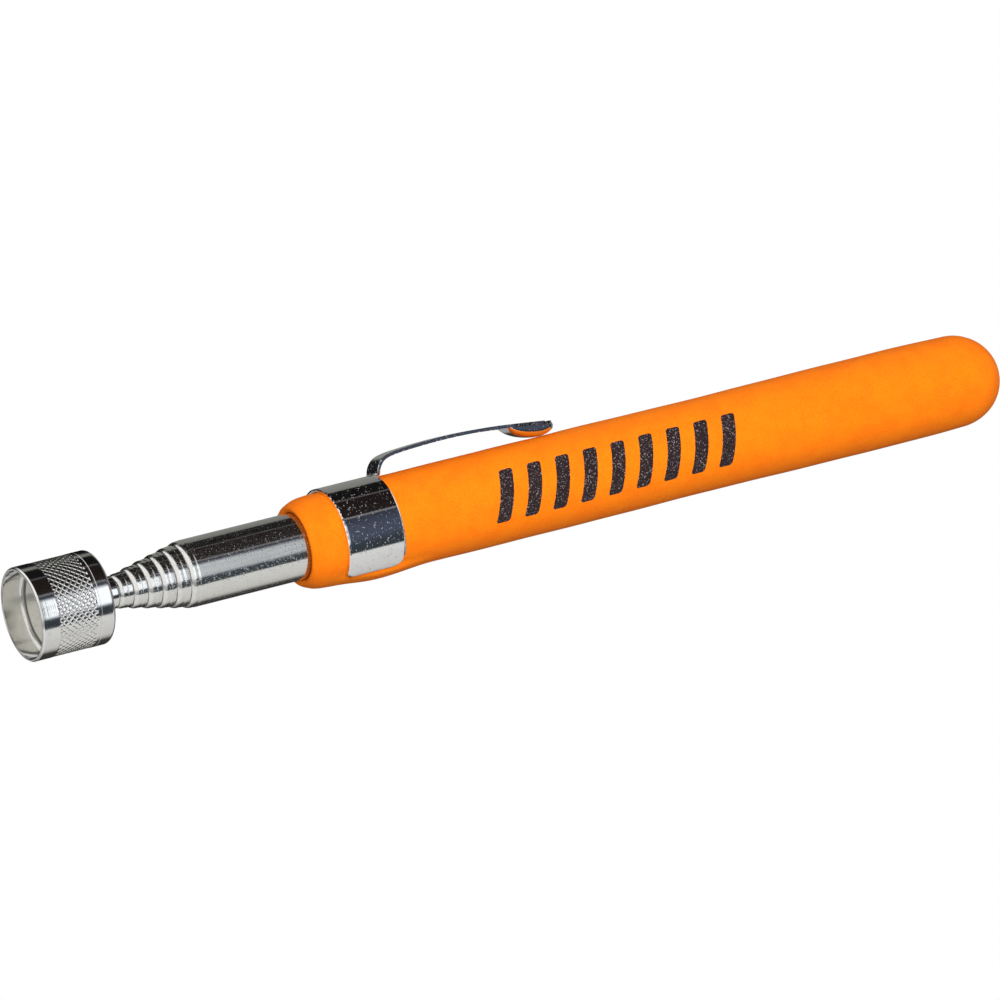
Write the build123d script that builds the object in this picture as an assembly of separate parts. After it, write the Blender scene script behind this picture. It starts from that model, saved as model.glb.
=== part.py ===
"""Telescoping magnetic pick-up tool, closed, in millimetres.

The tool's axis lies along X. The mouth of the magnet cup is at x = 0, the closed end of the foam
grip is towards +X, and the pocket clip is towards +Z. Turned pieces are drawn as half sections in
the XY plane, with y as the radius, and revolved about X.
"""

import math
import os

from build123d import *

# Head: turned steel cup, magnet, spacer ring and adhesive
cup_radius = 7.0
cup_wall = 0.5
cup_back = 2.4
cup_front_chamfer = 0.25
cup_rear_round = 0.6
knurl_start_x = 2.7
knurl_rear_margin = 2.8
knurl_depth = 0.12
magnet_recess = 3.4
magnet_length = 5.7
magnet_edge = 0.15
magnet_seat_step = 0.4
spacer_wall = 0.3
spacer_recess = 0.1
adhesive_thickness = 0.3

# Collar between the cup and the first tube
collar_length = 2.85
collar_wall = 0.25
collar_round = 0.2
collar_gap = 0.05

# Telescoping sections, counted inwards from the fixed outer tube, the last one a solid rod
section_count = 6
outer_tube_radius = 5.0
outer_tube_length = 128.8
radius_step = 0.47
tube_wall = 0.28
front_stagger = 2.1
swage_length = 1.8
swage_taper = 0.6
swage_step = 0.05
swage_clearance = 0.05
nose_length = 0.85
nose_drop = 0.28

# Split friction sleeves near the inner ends of the sections
sleeve_length = 8.0
sleeve_inset = 1.0
sleeve_groove_depth = 0.12
sleeve_seat_clearance = 0.03
sleeve_end_clearance = 0.1
sleeve_bore_clearance = 0.05
sleeve_slot = 0.5

# Plug pressed into the rear of the outer tube
plug_length = 3.0
plug_flange = 0.8
plug_chamfer = 0.3
plug_gap = 0.2

# Foam grip
bare_tube_length = 18.5
foam_wall = 2.04
foam_end_thickness = 10.2
foam_lip_radius = 1.85
foam_mouth_clearance = 0.25
foam_mouth_depth = 1.6
foam_mouth_ease = 0.3
foam_waist_distance = 68.3
foam_swell_distance = 21.0
foam_swell = 0.16
foam_dome_slope = -0.02
foam_squeeze = 0.08
foam_squeeze_taper = 0.4
foam_bulge = 0.12

# Clip band
band_setback = 5.9
band_length = 9.35
band_thickness = 0.5
band_half_angle = 146.0
band_gap_margin = 3.0
band_end_tolerance = 0.01
band_front_corner = 1.0
band_rear_corner = 2.0

# Clip stem and blade
clip_width = 3.8
clip_sheet = 0.5
stem_rise_angle = 40.0
stem_root_inset = 0.3
stem_length = 1.16
knuckle_rim = 0.12
knuckle_clearance = 0.05
clip_tip_round = 1.7
dimple_distance = 26.85
dimple_half_length = 3.7
dimple_half_width = 1.5
dimple_foam_gap = 0.05

# Centreline of the clip's blade: distance behind the band, and height above the foam
clip_centreline = [
    (1.23, 1.85),
    (1.81, 2.32),
    (2.92, 2.71),
    (5.25, 2.98),
    (13.45, 3.21),
    (19.95, 2.91),
    (25.75, 2.31),
    (30.65, 1.71),
]

clip_stations = 24

# Places that follow from the sizes
magnet_rear_x = magnet_recess + magnet_length
cup_floor_x = magnet_rear_x + adhesive_thickness
cup_rear_x = cup_floor_x + cup_back
cup_bore_radius = cup_radius - cup_wall
magnet_seat_radius = cup_bore_radius - magnet_seat_step
magnet_radius = magnet_seat_radius - spacer_wall
collar_end_x = cup_rear_x + collar_length
rod_radius = outer_tube_radius - radius_step * section_count
outer_front_x = collar_end_x + collar_gap + front_stagger * (section_count - 1)
outer_rear_x = outer_front_x + outer_tube_length
outer_bore_radius = outer_tube_radius - tube_wall
plug_face_x = outer_rear_x - plug_length
section_rear_x = plug_face_x - plug_gap
sleeve_end_x = section_rear_x - sleeve_inset
sleeve_start_x = sleeve_end_x - sleeve_length
foam_front_x = outer_front_x + bare_tube_length
foam_bore_end_x = outer_rear_x + plug_flange
foam_end_x = outer_rear_x + foam_end_thickness + plug_flange
foam_radius = outer_tube_radius + foam_wall
band_front_x = foam_front_x + band_setback
band_rear_x = band_front_x + band_length
band_seat_radius = foam_radius - foam_squeeze
band_outer_radius = band_seat_radius + band_thickness


def spin(*lines):
    """Solid of revolution about X from lines that enclose a half section."""
    outline = Curve()
    for line in lines:
        outline += line
    return revolve(make_face(outline), Axis.X)


def spin_polygon(points):
    """Solid of revolution about X from the corners of a half section."""
    return spin(Polyline(*points, close=True))


def ring(start, end, inner, outer):
    """Plain ring about the X axis."""
    return spin_polygon([(start, inner), (end, inner), (end, outer), (start, outer)])


def section_radius(index):
    """Outer radius of a section: 0 is the fixed outer tube and section_count is the rod."""
    return outer_tube_radius - radius_step * index


def section_front_x(index):
    """Front end of a tube."""
    return outer_front_x - front_stagger * index


def make_head_cup():
    """Turned cup with a shallow band where the knurl is rolled, and a seat for the magnet."""
    knurl_end_x = cup_rear_x - knurl_rear_margin
    knurl_radius = cup_radius - knurl_depth
    corner_x = cup_rear_x - cup_rear_round
    outside = Polyline(
        (0, cup_bore_radius),
        (0, cup_radius - cup_front_chamfer),
        (cup_front_chamfer, cup_radius),
        (knurl_start_x, cup_radius),
        (knurl_start_x + knurl_depth, knurl_radius),
        (knurl_end_x - knurl_depth, knurl_radius),
        (knurl_end_x, cup_radius),
        (corner_x, cup_radius),
    )
    corner = CenterArc((corner_x, cup_radius - cup_rear_round), cup_rear_round, 90, -90)
    inside = Polyline(
        (cup_rear_x, cup_radius - cup_rear_round),
        (cup_rear_x, rod_radius),
        (cup_floor_x, rod_radius),
        (cup_floor_x, magnet_seat_radius),
        (magnet_recess, magnet_seat_radius),
        (magnet_recess - magnet_seat_step, cup_bore_radius),
        (0, cup_bore_radius),
    )
    return spin(outside, corner, inside)


def make_disc_magnet():
    """Nickel-plated disc magnet with an eased front edge."""
    return spin_polygon([
        (magnet_recess, 0),
        (magnet_recess, magnet_radius - magnet_edge),
        (magnet_recess + magnet_edge, magnet_radius),
        (magnet_rear_x, magnet_radius),
        (magnet_rear_x, 0),
    ])


def make_magnet_spacer():
    """Non-magnetic ring that centres the magnet in the cup."""
    return ring(magnet_recess + spacer_recess, cup_floor_x, magnet_radius, magnet_seat_radius)


def make_magnet_adhesive():
    """Adhesive layer between the magnet and the floor of the cup."""
    return spin_polygon([
        (magnet_rear_x, 0),
        (magnet_rear_x, magnet_radius),
        (cup_floor_x, magnet_radius),
        (cup_floor_x, 0),
    ])


def make_tip_collar():
    """Turned collar on the rod behind the cup."""
    radius = rod_radius + collar_wall
    return spin_polygon([
        (cup_rear_x, rod_radius),
        (cup_rear_x, radius),
        (collar_end_x - collar_round, radius),
        (collar_end_x, radius - collar_round),
        (collar_end_x, rod_radius),
    ])


def sleeve_groove(index):
    """Outside of a section at its sleeve groove, from the groove's front to the section's end."""
    outer = section_radius(index)
    floor = outer - sleeve_groove_depth
    start = sleeve_start_x - sleeve_end_clearance
    end = sleeve_end_x + sleeve_end_clearance
    return [(start, outer), (start, floor), (end, floor), (end, outer), (section_rear_x, outer)]


def make_rod():
    """Solid innermost section, from the floor of the cup to its sleeve."""
    outline = [(cup_floor_x, 0), (cup_floor_x, rod_radius)]
    outline += sleeve_groove(section_count)
    outline += [(section_rear_x, 0)]
    return spin_polygon(outline)


def make_tube(index):
    """Tube whose front end is swaged in around the next section and ends in a domed nose."""
    front = section_front_x(index)
    outer = section_radius(index)
    swaged = outer - swage_step
    bore = outer - tube_wall
    throat = section_radius(index + 1) + swage_clearance
    swage_end = front + swage_length
    nose_radius = (nose_length**2 + nose_drop**2) / (2 * nose_drop)
    nose_turn = math.degrees(math.asin(nose_length / nose_radius))
    nose_centre = (front + nose_length, swaged - nose_radius)
    face = Line((front, throat), (front, swaged - nose_drop))
    nose = CenterArc(nose_centre, nose_radius, 90 + nose_turn, -nose_turn)
    outline = [
        (front + nose_length, swaged),
        (swage_end, swaged),
        (swage_end + swage_taper, outer),
    ]
    rear = section_rear_x
    if index == 0:
        rear = outer_rear_x
        outline += [(rear, outer)]
    else:
        outline += sleeve_groove(index)
    outline += [(rear, bore), (swage_end + swage_taper, bore), (swage_end, throat), (front, throat)]
    return spin(face, nose, Polyline(*outline))


def make_friction_sleeve(index):
    """Split spring sleeve in the groove of a section, running in the bore of the tube around it."""
    inner = section_radius(index) - sleeve_groove_depth + sleeve_seat_clearance
    outer = section_radius(index - 1) - tube_wall - sleeve_bore_clearance
    slot = Box(2 * sleeve_length, sleeve_slot, 2 * outer)
    slot_centre = Pos((sleeve_start_x + sleeve_end_x) / 2, 0, outer)
    return ring(sleeve_start_x, sleeve_end_x, inner, outer) - slot_centre * slot


def make_end_plug():
    """Flanged plug that closes the outer tube inside the grip."""
    return spin_polygon([
        (plug_face_x, 0),
        (plug_face_x, outer_bore_radius - plug_chamfer),
        (plug_face_x + plug_chamfer, outer_bore_radius),
        (outer_rear_x, outer_bore_radius),
        (outer_rear_x, outer_tube_radius),
        (foam_bore_end_x, outer_tube_radius),
        (foam_bore_end_x, 0),
    ])


def bottom_wedge(half_angle):
    """Long wedge below the axis, as wide as half_angle on each side of straight down."""
    reach = 3 * band_outer_radius
    side = reach * math.tan(math.radians(half_angle))
    section = Plane.YZ * Polyline((0, 0), (side, -reach), (-side, -reach), close=True)
    return extrude(make_face(section), foam_end_x, both=True)


def make_foam_bulge():
    """Foam that swells out through the gap in the band, at the bottom."""
    core = foam_radius - foam_wall / 2
    middle = (band_front_x + band_rear_x) / 2
    crest = ThreePointArc(
        (band_front_x, band_seat_radius),
        (middle, band_outer_radius + foam_bulge),
        (band_rear_x, band_seat_radius),
    )
    base = Polyline(
        (band_rear_x, band_seat_radius),
        (band_rear_x, core),
        (band_front_x, core),
        (band_front_x, band_seat_radius),
    )
    gap_half_angle = 180 - band_half_angle - band_gap_margin
    return spin(crest, base) & bottom_wedge(gap_half_angle)


def make_grip_sleeve():
    """Closed foam sleeve stretched over the outer tube and its plug."""
    lip_x = foam_front_x + foam_lip_radius
    lip = CenterArc((lip_x, foam_radius - foam_lip_radius), foam_lip_radius, 180, -90)
    seat = Polyline(
        (lip_x, foam_radius),
        (band_front_x - foam_squeeze_taper, foam_radius),
        (band_front_x, band_seat_radius),
        (band_rear_x, band_seat_radius),
        (band_rear_x + foam_squeeze_taper, foam_radius),
        (foam_front_x + foam_waist_distance, foam_radius),
    )
    dome_x = foam_end_x - foam_radius
    swell = Spline(
        (foam_front_x + foam_waist_distance, foam_radius),
        (foam_end_x - foam_swell_distance, foam_radius + foam_swell),
        (dome_x, foam_radius),
        tangents=[(1, 0), (1, foam_dome_slope)],
    )
    dome = CenterArc((dome_x, 0), foam_radius, 90, -90)
    mouth_radius = outer_tube_radius + foam_mouth_clearance
    mouth_end_x = foam_front_x + foam_mouth_depth
    bore = Polyline(
        (foam_end_x, 0),
        (foam_bore_end_x, 0),
        (foam_bore_end_x, outer_tube_radius),
        (mouth_end_x, outer_tube_radius),
        (mouth_end_x, mouth_radius),
        (foam_front_x + foam_mouth_ease, mouth_radius),
        (foam_front_x, foam_radius - foam_lip_radius),
    )
    return spin(lip, seat, swell, dome, bore) + make_foam_bulge()


def knuckle_centre():
    """Hinge line of the clip, as x and z."""
    turn = math.radians(stem_rise_angle)
    root_x = band_rear_x - stem_root_inset
    root_z = (band_seat_radius + band_outer_radius) / 2
    return root_x + stem_length * math.cos(turn), root_z + stem_length * math.sin(turn)


def clip_prism(section):
    """Extrude a section drawn with x and z coordinates across the clip's width."""
    return extrude(Plane.XZ * section, clip_width / 2, both=True)


def band_corners(band, end_x):
    """The two short radial edges of the band at one of its ends."""
    ends = [edge for edge in band.edges() if abs(edge.center().X - end_x) < band_end_tolerance]
    return ShapeList(ends).sort_by(SortBy.LENGTH)[:2]


def make_clip_band():
    """Band around the grip, open at the bottom, with the root of the clip's stem."""
    band = ring(band_front_x, band_rear_x, band_seat_radius, band_outer_radius)
    band -= bottom_wedge(180 - band_half_angle)
    band = fillet(band_corners(band, band_front_x), band_front_corner)
    band = fillet(band_corners(band, band_rear_x), band_rear_corner)
    centre_x, centre_z = knuckle_centre()
    reach = 2 * stem_length
    turn = Rotation(0, 0, stem_rise_angle)
    root = Pos(centre_x, centre_z) * turn * Pos(-reach / 2, 0) * Rectangle(reach, clip_sheet)
    socket = Pos(centre_x, centre_z) * Circle(clip_sheet / 2 + knuckle_rim + knuckle_clearance)
    stem = clip_prism(root - socket)
    stem -= ring(band_front_x, band_rear_x + band_length, 0, band_seat_radius)
    return band + stem


def clip_strip():
    """Side view of the stem and blade: a constant thickness along the centreline."""
    centre_x, centre_z = knuckle_centre()
    course = [(centre_x, centre_z)]
    course += [(band_rear_x + distance, foam_radius + height) for distance, height in clip_centreline]
    line = Spline(*course)
    stops = [i / clip_stations for i in range(clip_stations + 1)]
    middle = [line.position_at(stop) for stop in stops]
    across = [line.tangent_at(stop).rotate(Axis.Z, 90) * (clip_sheet / 2) for stop in stops]
    top = Spline(*[point + side for point, side in zip(middle, across)])
    bottom = Spline(*[point - side for point, side in zip(middle, across)])
    edges = [top, Line(top @ 1, bottom @ 1), bottom, Line(bottom @ 0, top @ 0)]
    bead = Pos(centre_x, centre_z) * Circle(clip_sheet / 2 + knuckle_rim)
    return make_face(edges), bead, line


def make_clip_blade():
    """Stem and blade of the pocket clip, with a dimple pressed down near its rounded tip."""
    strip, bead, line = clip_strip()
    tip_x = (line @ 1).X
    root_x = band_rear_x - clip_width
    plan = Pos((root_x + tip_x) / 2, 0) * Rectangle(tip_x - root_x, clip_width)
    tips = plan.vertices().sort_by(Axis.X)[2:]
    plan = fillet(tips, clip_tip_round)
    blade = clip_prism(strip) & extrude(plan, 3 * foam_radius)
    blade += clip_prism(bead)
    dimple_x = band_rear_x + dimple_distance
    knuckle_x = knuckle_centre()[0]
    dimple_share = (dimple_x - knuckle_x) / (tip_x - knuckle_x)
    place = line.position_at(dimple_share)
    slope = line.tangent_at(dimple_share)
    depth = place.Y - foam_radius - dimple_foam_gap
    outside = scale(Sphere(1), by=(dimple_half_length, dimple_half_width, depth))
    outside &= Pos(0, 0, -depth) * Box(3 * dimple_half_length, 3 * dimple_half_width, 2 * depth)
    inner_half_length = dimple_half_length - clip_sheet
    inner_half_width = dimple_half_width - clip_sheet
    inside = scale(Sphere(1), by=(inner_half_length, inner_half_width, depth - clip_sheet))
    tilt = math.degrees(math.atan2(-slope.Y, slope.X))
    seat = Pos(place.X, 0, place.Y) * Rotation(0, tilt, 0)
    return blade + seat * outside - seat * inside


def write(name, shape):
    """Write one sub-part as a STEP file."""
    export_step(shape, f"parts/{name}.step")


if __name__ == "__main__":
    os.makedirs("parts", exist_ok=True)
    write("head_cup", make_head_cup())
    write("disc_magnet", make_disc_magnet())
    write("magnet_spacer", make_magnet_spacer())
    write("magnet_adhesive", make_magnet_adhesive())
    write("tip_collar", make_tip_collar())
    write("rod", make_rod())
    write("outer_tube", make_tube(0))
    for number in range(1, section_count):
        write(f"tube_{number + 1}", make_tube(number))
    for number in range(1, section_count + 1):
        write(f"friction_sleeve_{number + 1}", make_friction_sleeve(number))
    write("end_plug", make_end_plug())
    write("grip_sleeve", make_grip_sleeve())
    write("clip_band", make_clip_band())
    write("clip_blade", make_clip_blade())
    print("hinge line of the clip, x and z:", knuckle_centre())
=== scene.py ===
"""Looks of a pocket telescoping magnetic pick-up tool.

Every surface is worked out in millimetres as numpy arrays and put into its mesh in metres. The
tool's axis is X, the magnet cup's mouth is at x = 0 and the pocket clip stands towards +Z.
"""

from __future__ import annotations

import logging
import math
from dataclasses import dataclass
from enum import Enum
from typing import Any, Callable, Optional, Sequence

import bmesh
import bpy
import numpy as np
from mathutils import Matrix, Vector

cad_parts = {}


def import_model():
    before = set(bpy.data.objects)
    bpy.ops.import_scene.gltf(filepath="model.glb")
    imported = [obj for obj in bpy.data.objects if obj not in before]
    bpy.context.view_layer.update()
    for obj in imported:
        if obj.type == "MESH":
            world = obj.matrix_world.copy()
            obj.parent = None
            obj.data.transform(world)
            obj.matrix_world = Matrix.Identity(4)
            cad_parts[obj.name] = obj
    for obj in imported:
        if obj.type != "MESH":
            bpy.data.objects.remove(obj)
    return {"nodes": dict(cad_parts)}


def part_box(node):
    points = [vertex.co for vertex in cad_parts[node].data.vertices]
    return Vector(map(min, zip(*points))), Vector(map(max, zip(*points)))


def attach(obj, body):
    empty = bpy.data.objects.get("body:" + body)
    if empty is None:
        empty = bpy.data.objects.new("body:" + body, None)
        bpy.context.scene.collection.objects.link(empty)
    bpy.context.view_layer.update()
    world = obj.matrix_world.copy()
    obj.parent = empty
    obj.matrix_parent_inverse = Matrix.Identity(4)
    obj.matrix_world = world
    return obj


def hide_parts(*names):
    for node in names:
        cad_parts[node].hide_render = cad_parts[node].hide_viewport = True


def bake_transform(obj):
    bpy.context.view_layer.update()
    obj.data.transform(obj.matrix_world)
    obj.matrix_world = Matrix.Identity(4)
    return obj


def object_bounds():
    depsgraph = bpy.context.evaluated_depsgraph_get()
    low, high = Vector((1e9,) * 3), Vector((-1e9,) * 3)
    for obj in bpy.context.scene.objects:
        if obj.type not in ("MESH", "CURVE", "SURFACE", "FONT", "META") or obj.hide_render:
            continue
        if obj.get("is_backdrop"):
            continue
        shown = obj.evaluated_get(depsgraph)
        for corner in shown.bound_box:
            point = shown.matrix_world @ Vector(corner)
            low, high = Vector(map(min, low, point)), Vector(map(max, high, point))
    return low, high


Array = np.ndarray
Colour = tuple[float, float, float]
MM = 0.001
# Length of the clip's band along the axis, without the hinge knuckle behind it.
BAND_LENGTH = 9.35
LOG = logging.getLogger("pick_up_tool")


class Body(Enum):
    """Rigid bodies of the tool that pieces ride on."""

    HANDLE = "handle"
    TIP = "tip"
    CLIP = "clip"


class Slot(Enum):
    """Material slots of the record."""

    TUBE = "polished_tube"
    CLIP = "clip_chrome"
    TURNED = "turned_steel"
    MAGNET = "magnet_nickel"
    BRONZE = "spring_bronze"
    FOAM = "foam_orange"
    PLUG = "plug_black"
    SPACER = "spacer_plastic"
    ADHESIVE = "adhesive_clear"


# ---------------------------------------------------------------------------------------------
# Outlines and meshes
# ---------------------------------------------------------------------------------------------


def straight(start: Sequence[float], end: Sequence[float], count: int = 2) -> Array:
    """Evenly spaced points from start to end.

    Args:
        start: First point.
        end: Last point.
        count: Number of points, both ends included.

    Returns:
        Array of shape (count, 2).
    """
    share = np.linspace(0.0, 1.0, count)[:, None]
    return np.asarray(start) * (1 - share) + np.asarray(end) * share


def arc(centre: Sequence[float], radius: float, first: float, last: float, count: int = 9) -> Array:
    """Points on a circle: centre plus radius times the cosine and sine of each angle.

    Args:
        centre: Centre of the circle.
        radius: Its radius.
        first: First angle in degrees from the first axis towards the second.
        last: Last angle in degrees.
        count: Number of points.

    Returns:
        Array of shape (count, 2).
    """
    turn = np.radians(np.linspace(first, last, count))
    return np.asarray(centre) + radius * np.stack([np.cos(turn), np.sin(turn)], axis=1)


def smooth_step(value: Array) -> Array:
    """Three times the square less twice the cube of a value held between 0 and 1."""
    held = np.clip(value, 0.0, 1.0)
    return held * held * (3 - 2 * held)


def cosine_spaced(start: float, end: float, count: int) -> Array:
    """Values from start to end that crowd towards end, as the sine of even angles does."""
    return start + (end - start) * np.sin(np.linspace(0.0, math.pi / 2, count))


def natural_spline(points: Array, samples: int) -> Array:
    """Smooth curve through points.

    Each coordinate is a natural cubic spline of the running chord length: the second derivatives
    at the points solve the usual tridiagonal equations, with zero at both ends.

    Args:
        points: Points of shape (n, k).
        samples: Number of points of the result.

    Returns:
        Array of shape (samples, k).
    """
    steps = np.linalg.norm(np.diff(points, axis=0), axis=1)
    knots = np.concatenate([[0.0], np.cumsum(steps)])
    size = len(points)
    inner = np.arange(1, size - 1)
    matrix = np.eye(size)
    matrix[inner, inner - 1] = steps[:-1]
    matrix[inner, inner] = 2 * (steps[:-1] + steps[1:])
    matrix[inner, inner + 1] = steps[1:]
    slopes = np.diff(points, axis=0) / steps[:, None]
    right = np.zeros_like(points)
    right[1:-1] = 6 * np.diff(slopes, axis=0)
    second = np.linalg.solve(matrix, right)
    place = np.linspace(0.0, knots[-1], samples)
    span = np.clip(np.searchsorted(knots, place, side="right") - 1, 0, size - 2)
    width = steps[span][:, None]
    after = place[:, None] - knots[span][:, None]
    before = width - after
    bend = second[span] * before**3 + second[span + 1] * after**3
    left_part = (points[span] / width - second[span] * width / 6) * before
    right_part = (points[span + 1] / width - second[span + 1] * width / 6) * after
    return bend / (6 * width) + left_part + right_part


def close_and_orient(mesh: bpy.types.Mesh) -> None:
    """Merge doubled points at seams and poles, and turn every face outwards."""
    work = bmesh.new()
    work.from_mesh(mesh)
    bmesh.ops.remove_doubles(work, verts=work.verts, dist=1e-7)
    bmesh.ops.recalc_face_normals(work, faces=work.faces)
    work.to_mesh(mesh)
    work.free()


def shade(mesh: bpy.types.Mesh, sharp_degrees: float = 40.0) -> None:
    """Smooth shading, kept sharp where faces meet at more than sharp_degrees."""
    mesh.shade_smooth()
    mesh.set_sharp_from_angle(angle=math.radians(sharp_degrees))


def grid_faces(rows: int, columns: int, wrap_rows: bool, wrap_columns: bool) -> Array:
    """Quads of a grid whose points are numbered row by row.

    Args:
        rows: Number of rows.
        columns: Number of columns.
        wrap_rows: Whether the last row joins the first.
        wrap_columns: Whether the last column joins the first.

    Returns:
        Array of shape (faces, 4).
    """
    row = np.arange(rows if wrap_rows else rows - 1)[:, None]
    column = np.arange(columns if wrap_columns else columns - 1)[None, :]
    next_row = (row + 1) % rows
    next_column = (column + 1) % columns
    corners = [
        row * columns + column,
        row * columns + next_column,
        next_row * columns + next_column,
        next_row * columns + column,
    ]
    return np.stack([np.broadcast_to(c, (row.size, column.size)) for c in corners], -1).reshape(-1, 4)


def mesh_from(name: str, points_mm: Array, faces: Array) -> bpy.types.Mesh:
    """Mesh with points given in millimetres and quads given by number."""
    mesh = bpy.data.meshes.new(name)
    mesh.from_pydata((points_mm.reshape(-1, 3) * MM).tolist(), [], faces.tolist())
    mesh.update()
    return mesh


def turned_mesh(
    name: str,
    outline: Array,
    segments: int,
    swell: Optional[Callable[[Array, Array, Array], Array]] = None,
    loop: bool = True,
) -> bpy.types.Mesh:
    """Surface of revolution about X.

    The point at angle a and outline place (x, r) is (x, r sin a, r cos a), with r first raised by
    swell(x, r, a) where one is given.

    Args:
        name: Name of the mesh.
        outline: Places (x, r) in millimetres, going round the section.
        segments: Number of steps round the axis.
        swell: Radius to add at each point, or None.
        loop: Whether the outline's last point joins its first. Otherwise both are on the axis.

    Returns:
        A closed mesh in metres.
    """
    turn = np.linspace(0.0, 2 * math.pi, segments, endpoint=False)[None, :]
    along = outline[:, :1] + 0 * turn
    radius = outline[:, 1:] + 0 * turn
    if swell is not None:
        radius = radius + swell(along, radius, turn + 0 * along)
    points = np.stack([along, radius * np.sin(turn), radius * np.cos(turn)], axis=-1)
    faces = grid_faces(len(outline), segments, loop, True)
    mesh = mesh_from(name, points, faces)
    close_and_orient(mesh)
    shade(mesh)
    return mesh


def add_piece(
    mesh: bpy.types.Mesh,
    body: Optional[str],
    material: bpy.types.Material,
    stands_for: Sequence[str],
) -> bpy.types.Object:
    """Put a mesh in the scene as a piece of the tool.

    Args:
        mesh: The finished mesh, named as the piece.
        body: Name of the body that it rides on, or None to leave it without one.
        material: Its material.
        stands_for: CAD nodes that it replaces.

    Returns:
        The piece's object.
    """
    piece = bpy.data.objects.new(mesh.name, mesh)
    bpy.context.scene.collection.objects.link(piece)
    mesh.materials.clear()
    mesh.materials.append(material)
    if body is not None:
        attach(piece, body)
    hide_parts(*stands_for)
    LOG.info("%s: %d faces, rides on %s", mesh.name, len(mesh.polygons), body or "two bodies")
    return piece


def node_span(node: str) -> tuple[float, float, float]:
    """Front x, rear x and outer radius of a round CAD node, in millimetres."""
    low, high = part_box(node)
    return low[0] / MM, high[0] / MM, high[1] / MM


# ---------------------------------------------------------------------------------------------
# Shader graphs
# ---------------------------------------------------------------------------------------------


@dataclass(frozen=True)
class Value:
    """A number socket whose operators add Math nodes."""

    graph: "Graph"
    socket: Any

    def _math(self, operation: str, *operands: Any) -> "Value":
        """Math node of one operation on operands.

        Args:
            operation: Name of the Math node's operation.
            operands: Values or numbers, in the order of the node's sockets.

        Returns:
            The node's result.
        """
        inputs = {place: operand for place, operand in enumerate(operands)}
        made = self.graph.node("ShaderNodeMath", {"operation": operation}, inputs)
        return Value(self.graph, made.outputs[0])

    def __add__(self, other: Any) -> "Value":
        """Sum."""
        return self._math("ADD", self, other)

    def __radd__(self, other: Any) -> "Value":
        """Sum with a number on the left."""
        return self._math("ADD", other, self)

    def __sub__(self, other: Any) -> "Value":
        """Difference."""
        return self._math("SUBTRACT", self, other)

    def __rsub__(self, other: Any) -> "Value":
        """Difference from a number on the left."""
        return self._math("SUBTRACT", other, self)

    def __mul__(self, other: Any) -> "Value":
        """Product."""
        return self._math("MULTIPLY", self, other)

    def __rmul__(self, other: Any) -> "Value":
        """Product with a number on the left."""
        return self._math("MULTIPLY", other, self)

    def __truediv__(self, other: Any) -> "Value":
        """Quotient."""
        return self._math("DIVIDE", self, other)

    def __abs__(self) -> "Value":
        """Size without its sign."""
        return self._math("ABSOLUTE", self)

    def at_least(self, other: Any) -> "Value":
        """The larger of the two."""
        return self._math("MAXIMUM", self, other)

    def at_most(self, other: Any) -> "Value":
        """The smaller of the two."""
        return self._math("MINIMUM", self, other)

    def fraction(self) -> "Value":
        """What is left after the whole part."""
        return self._math("FRACT", self)

    def root(self) -> "Value":
        """Square root."""
        return self._math("SQRT", self)

    def angle_from(self, other: "Value") -> "Value":
        """Angle whose tangent is this value over the other, in radians."""
        return self._math("ARCTAN2", self, other)

    def ease(self, low: float, high: float) -> "Value":
        """Smooth rise from 0 at low to 1 at high."""
        settings = {"interpolation_type": "SMOOTHSTEP"}
        inputs = {"Value": self, "From Min": low, "From Max": high}
        return Value(self.graph, self.graph.node("ShaderNodeMapRange", settings, inputs).outputs[0])


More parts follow.
